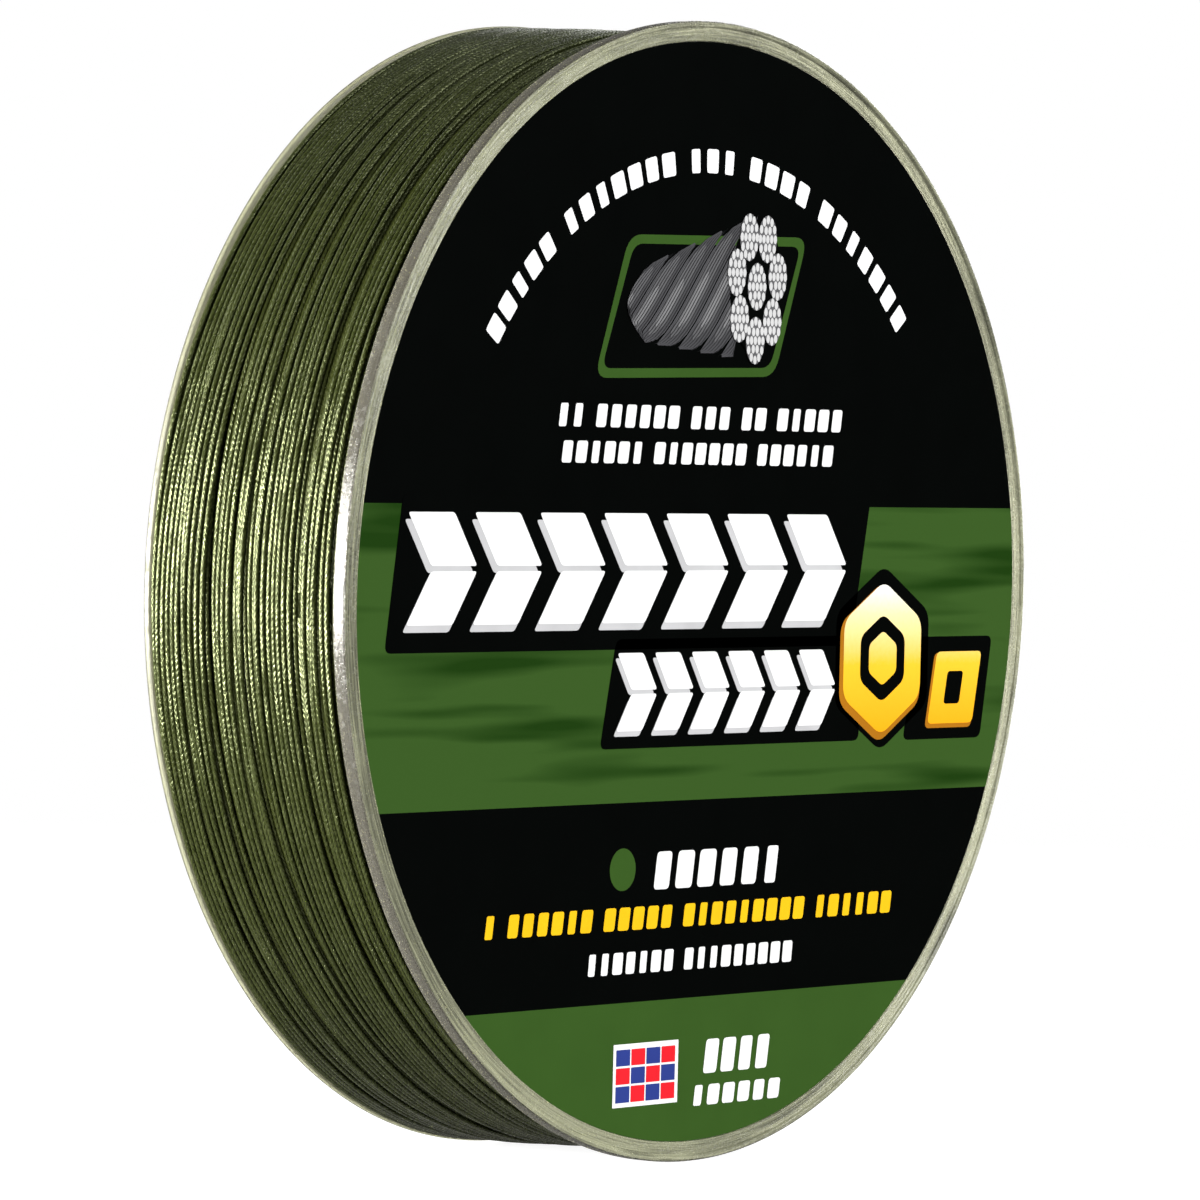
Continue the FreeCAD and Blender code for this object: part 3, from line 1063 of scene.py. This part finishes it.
def print_rope():
    """A plain drawing of a laid rope in a leaning frame, with the strands in its cut end."""
    corners = [(-16.6, 18.5), (9.7, 19.1), (14.2, 31.6), (-12.1, 31.0)]
    ink("print_picture_frame", frame_shape(corners, 0.85), PLAIN_GREEN, 1)
    pitch = (ROPE_END + ROPE_LEAN) / ROPE_LAYS
    lays, lights, fibres, crests = [], [], [], []
    for lay in range(ROPE_LAYS):
        middle = (lay + 0.5) * pitch - ROPE_LEAN
        lays.append(rope_strand(middle, pitch * 0.47))
        lights.append(rope_strand(middle - pitch * 0.08, pitch * 0.3, 0.2, 0.85))
        crests.append(rope_strand(middle - pitch * 0.1, pitch * 0.16, 0.3, 0.62))
        for fibre in (-0.33, -0.19, -0.05, 0.09, 0.23, 0.37):
            fibres.append(rope_strand(middle + pitch * fibre, pitch * 0.02, 0.04, 0.96))
    parts = [
        ("print_rope_lays", lays, GREY_LAY),
        ("print_rope_lights", lights, GREY_MIDDLE),
        ("print_rope_crests", crests, GREY_PALE),
        ("print_rope_fibres", fibres, GREY_DARK),
    ]
    for level, (name, shapes, material) in enumerate(parts, 2):
        ink(name, [shape for shape in shapes if len(shape) > 12], material, level)
    print_rope_end(6.6, 27.0, 4.6, 7.0)


def print_rope_end(across, up, half_width, half_height):
    """The rope's cut end: one strand in the middle, seven round it, and the fibres in each."""
    ink("print_rope_end", [ellipse(across, up, 0.85 * half_width, 0.85 * half_height)], BLACK, 6)
    strand_places = [(0.0, 0.0), *places_round(7, 0.68, 0.2)]
    fibre_places = [(0.0, 0.0), *places_round(6, 0.125), *places_round(12, 0.245)]
    strands, fibres = [], []
    for x, z in strand_places:
        place = (across + x * half_width, up + z * half_height)
        strands.append(ellipse(*place, 0.3 * half_width, 0.3 * half_height, 24))
        for dx, dz in fibre_places:
            place = (across + (x + dx) * half_width, up + (z + dz) * half_height)
            fibres.append(ellipse(*place, 0.056 * half_width, 0.056 * half_height, 12))
    ink("print_rope_end_strands", strands, GREY_MIDDLE, 7)
    ink("print_rope_end_fibres", fibres, GREY_LIGHT, 8)


def print_main_motif():
    """Two rows of split chevrons, like the picks of a plait, on black backings."""
    backing = [
        rounded([(-44.4, -4.9), (22.4, -4.9), (25.0, 8.4), (-42.4, 8.4)], 0.8),
        rounded([(-14.6, -13.5), (24.0, -13.5), (24.0, -4.0), (-12.6, -4.0)], 0.8),
        hexagon(*BADGE, 8.4, 1.2),
        rounded([(31.0, -13.6), (43.4, -13.6), (45.0, -4.2), (33.0, -4.2)], 0.8),
    ]
    ink("print_backing", backing, BLACK, 1)
    large = chevron_row(7, -41.7, 8.95, bottom=-2.6, width=6.2, height=9.5, point=3.2, gap=0.45)
    small = chevron_row(6, -12.4, 5.35, bottom=-12.0, width=3.7, height=6.8, point=2.1, gap=0.35)
    ink("print_large_shades", [moved(shape, -0.45, -0.6) for shape in large], SILVER, 2)
    ink("print_large_picks", large, WHITE, 3)
    ink("print_small_shades", [moved(shape, -0.35, -0.45) for shape in small], SILVER, 2)
    ink("print_small_picks", small, WHITE, 3)


def print_badge():
    """A gold hexagon and a small gold lozenge."""
    stops = [
        (0.0, (1.0, 0.42, 0.008)),
        (0.45, (1.0, 0.58, 0.03)),
        (0.8, (1.0, 0.86, 0.45)),
        (1.0, (1.0, 0.98, 0.9)),
    ]
    gold = height_blend("print_gold", -12.6, 0.6, stops)
    brown = printed("print_brown", (0.42, 0.16, 0.01), 0.05)
    edges = [hexagon(27.1, -6.5, 7.3, 1.2), bar(34.4, -12.6, 7.4, 6.9, BADGE_SLANT, 0.6)]
    ink("print_badge_edge", edges, brown, 2)
    faces = [hexagon(*BADGE, 7.0, 1.2), bar(34.8, -12.2, 7.2, 6.6, BADGE_SLANT, 0.6)]
    ink("print_badge", faces, gold, 3)
    windows = [hexagon(*BADGE, 4.0, 0.8), bar(37.3, -10.4, 2.5, 3.0, BADGE_SLANT, 0.4)]
    ink("print_badge_window", windows, BLACK, 4)
    ink("print_badge_core", [hexagon(*BADGE, 2.5, 0.5)], gold, 5)


def print_footer():
    """The colour dot, the lines of words and the small panel on the lower bands."""
    rng = random.Random(8)
    ink("print_colour_dot", [ellipse(-10.9, -24.0, 1.85, 1.85)], PLAIN_GREEN, 1)
    upper = [
        ("print_colour_word", WHITE, -6.9, 12.4, -25.9, 3.3, [6], WORD_SLANT),
        ("print_yellow_words", YELLOW, -30.6, 29.8, -29.3, 2.0, [1, 6, 5, 9, 6], WORD_SLANT),
        ("print_small_words", WHITE, -16.0, 14.6, -33.1, 1.9, [7, 9], 0.1),
    ]
    lower = [
        ("print_footer_word", WHITE, 1.2, 11.4, -42.4, 3.0, [4], WORD_SLANT),
        ("print_footer_small_word", WHITE, -0.4, 13.2, -45.2, 1.8, [6], WORD_SLANT),
    ]
    print_rows(rng, upper)
    ink("print_panel", [bar(left=-11.6, bottom=-44.7, width=9.4, height=5.5, corner=0.1)], WHITE, 1)
    print_tiles("print_panel_blue", BLUE, 0)
    print_tiles("print_panel_red", RED, 1)
    print_rows(rng, lower)


def print_tiles(name, material, odd):
    """Every other tile of the small panel: the even ones if odd is 0, the odd ones if it is 1."""
    squares = []
    for column in range(4):
        for row in range(3):
            if (column + row) % 2 == odd:
                left, bottom = -11.2 + 2.18 * column, -44.3 + 1.6 * row
                squares.append(bar(left, bottom, width=2.0, height=1.42, corner=0.08))
    ink(name, squares, material, 2)


def ring_parts(inner, outer, steps=90):
    """A flat ring as short four-cornered parts."""
    near, far = places_round(steps, inner), places_round(steps, outer)
    return [[near[i - 1], far[i - 1], far[i], near[i]] for i in range(steps)]


def make_rear_label():
    """A ring-shaped label with a few plain lines of print."""
    outline = [
        (DRUM_RADIUS, LABEL_BACK),
        (LABEL_RADIUS, LABEL_BACK),
        (LABEL_RADIUS, LABEL_TOP),
        (DRUM_RADIUS, LABEL_TOP),
    ]
    sheet = lathe("rear_label_sheet", outline, BLACK)
    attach(sheet, "root")
    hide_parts("rear_label")
    ink("rear_print_ring", ring_parts(DRUM_RADIUS + 0.6, DRUM_RADIUS + 2.2), PLAIN_GREEN, 1, REAR)
    ink("rear_print_rim", ring_parts(45.6, 46.6), PLAIN_GREEN, 1, REAR)
    rng = random.Random(17)
    rows = [
        ("rear_print_top_words", WHITE, 40.0, 2.6, 140, 40, [5, 8, 4, 6]),
        ("rear_print_top_line", YELLOW, 35.0, 1.6, 132, 48, [4, 6, 3, 5, 7]),
        ("rear_print_bottom_words", WHITE, 41.0, 1.7, 218, 322, [6, 4, 7, 5, 3, 8, 4]),
        ("rear_print_bottom_line", WHITE, 37.0, 1.7, 222, 318, [5, 7, 4, 6, 6]),
    ]
    print_arcs(rng, REAR, rows)


# ---- Studio ----

def make_floor():
    """A flat disc under the rims."""
    ground = CAD_BOX[0].z / MM
    points = [(x, y, ground) for x, y in places_round(96, 550.0)]
    mesh = mesh_from("floor", points, [range(len(points))], smooth=False)
    mesh.materials.append(studio_floor("floor"))
    link("floor", mesh)


def direction_from(azimuth, elevation):
    """The unit vector towards a place seen at an azimuth and elevation from the object."""
    a, e = math.radians(azimuth), math.radians(elevation)
    return Vector((math.sin(a) * math.cos(e), -math.cos(a) * math.cos(e), math.sin(e)))


def soft_light(name, azimuth, elevation, distance, size, power, colour=(1, 1, 1)):
    """A rectangular light that faces the object from a distance in metres."""
    data = bpy.data.lights.new(name, "AREA")
    data.shape = "RECTANGLE"
    data.size, data.size_y = size
    data.energy = power
    data.color = colour
    lamp = link(name, data)
    towards = direction_from(azimuth, elevation)
    lamp.location = towards * distance
    lamp.rotation_euler = towards.to_track_quat("Z", "Y").to_euler()


def make_lights():
    """A low key light on the winding's side and three soft fills."""
    soft_light("key", -120, 3, distance=0.6, size=(0.5, 0.12), power=18.0, colour=(1.0, 0.98, 0.94))
    soft_light("front_fill", 18, 22, distance=1.1, size=(0.8, 0.8), power=16.5)
    soft_light("side_fill", 106, 2, distance=0.8, size=(0.5, 0.9), power=6.5)
    soft_light("rear_fill", 172, 12, distance=1.2, size=(0.8, 0.8), power=6.0)


def make_world():
    """White where it is seen, and a dimmer and warmer room where it lights the object."""
    world = bpy.data.worlds.new("studio")
    bpy.context.scene.world = world
    world.use_nodes = True
    tree = world.node_tree
    level = camera_level(tree, 1.0, 0.15)
    background = tree.nodes["Background"]
    background.inputs["Color"].default_value = (1, 1, 1, 1)
    tree.links.new(level, background.inputs["Strength"])


def make_camera():
    """The photograph's view: from the left of the label and a little above it."""
    data = bpy.data.cameras.new("camera")
    data.lens = LENS
    data.sensor_width = SENSOR
    data.clip_start = 0.01
    data.clip_end = 200.0
    camera = link("camera", data)
    back = direction_from(VIEW_AZIMUTH, VIEW_ELEVATION)
    right = Vector((math.cos(math.radians(VIEW_AZIMUTH)), math.sin(math.radians(VIEW_AZIMUTH)), 0))
    up = back.cross(right)
    place = back * VIEW_DISTANCE + right * VIEW_ASIDE[0] + up * VIEW_ASIDE[1]
    roll = math.radians(VIEW_ROLL)
    rolled_right = right * math.cos(roll) + up * math.sin(roll)
    rolled_up = up * math.cos(roll) - right * math.sin(roll)
    turned = Matrix((rolled_right, rolled_up, back)).transposed().to_4x4()
    camera.matrix_world = Matrix.Translation(place) @ turned
    bpy.context.scene.camera = camera


make_winding()
make_flanges()
finish_cad_nodes()
make_end_tape()
make_front_label()
print_headline()
print_rope()
print_main_motif()
print_badge()
print_footer()
make_rear_label()
make_floor()
make_lights()
make_world()
make_camera()
bpy.context.scene.view_settings.view_transform = "Standard"
